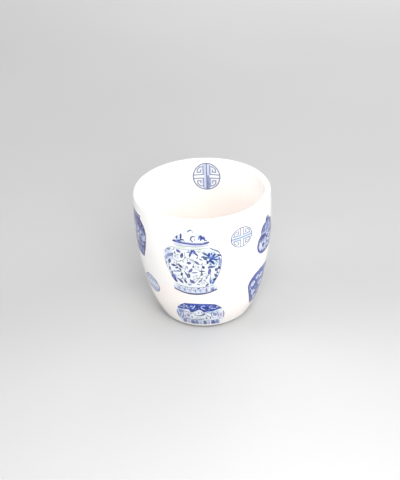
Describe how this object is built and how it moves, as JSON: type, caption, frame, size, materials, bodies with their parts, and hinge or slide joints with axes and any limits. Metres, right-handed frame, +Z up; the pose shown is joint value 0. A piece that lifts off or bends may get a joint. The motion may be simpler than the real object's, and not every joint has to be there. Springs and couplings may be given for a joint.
{
  "type": "teacup",
  "caption": "Handleless round tea cup in glazed porcelain with a rounded lip, a low foot ring and blue transfer decoration fired onto the glaze.",
  "frame": {"origin": "centre of the foot ring's resting face, on the surface that the cup stands on", "axes": "+Z up along the cup's axis of revolution, -Y towards the front with the ginger jar decal, +X to the right seen from the front"},
  "size_m": [0.0812, 0.0812, 0.0812],
  "materials": {
    "biscuit_porcelain": "bare fired white porcelain, matt",
    "clear_glaze": "glossy white glaze",
    "cobalt_transfer": "glossy blue transfer print fired onto the glaze"
  },
  "bodies": {
    "root": {"baluster_jar_decal_left": "cobalt_transfer", "cup_body": "biscuit_porcelain", "fish_bowl_decal_back": "cobalt_transfer", "fish_bowl_decal_front": "cobalt_transfer", "fret_round_decal_back_upper": "cobalt_transfer", "fret_round_decal_front_left": "cobalt_transfer", "fret_round_decal_front_right": "cobalt_transfer", "fret_round_decal_inside": "cobalt_transfer", "fret_round_decal_left_upper": "cobalt_transfer", "fret_round_decal_right_lower": "cobalt_transfer", "fret_round_decal_right_upper": "cobalt_transfer", "ginger_jar_decal_back": "cobalt_transfer", "ginger_jar_decal_front": "cobalt_transfer", "glaze_coat": "clear_glaze", "prunus_vase_decal_back": "cobalt_transfer", "prunus_vase_decal_right": "cobalt_transfer", "round_pot_decal_back": "cobalt_transfer", "round_pot_decal_right": "cobalt_transfer", "underside_glaze": "clear_glaze"}
  },
  "joints": []
}
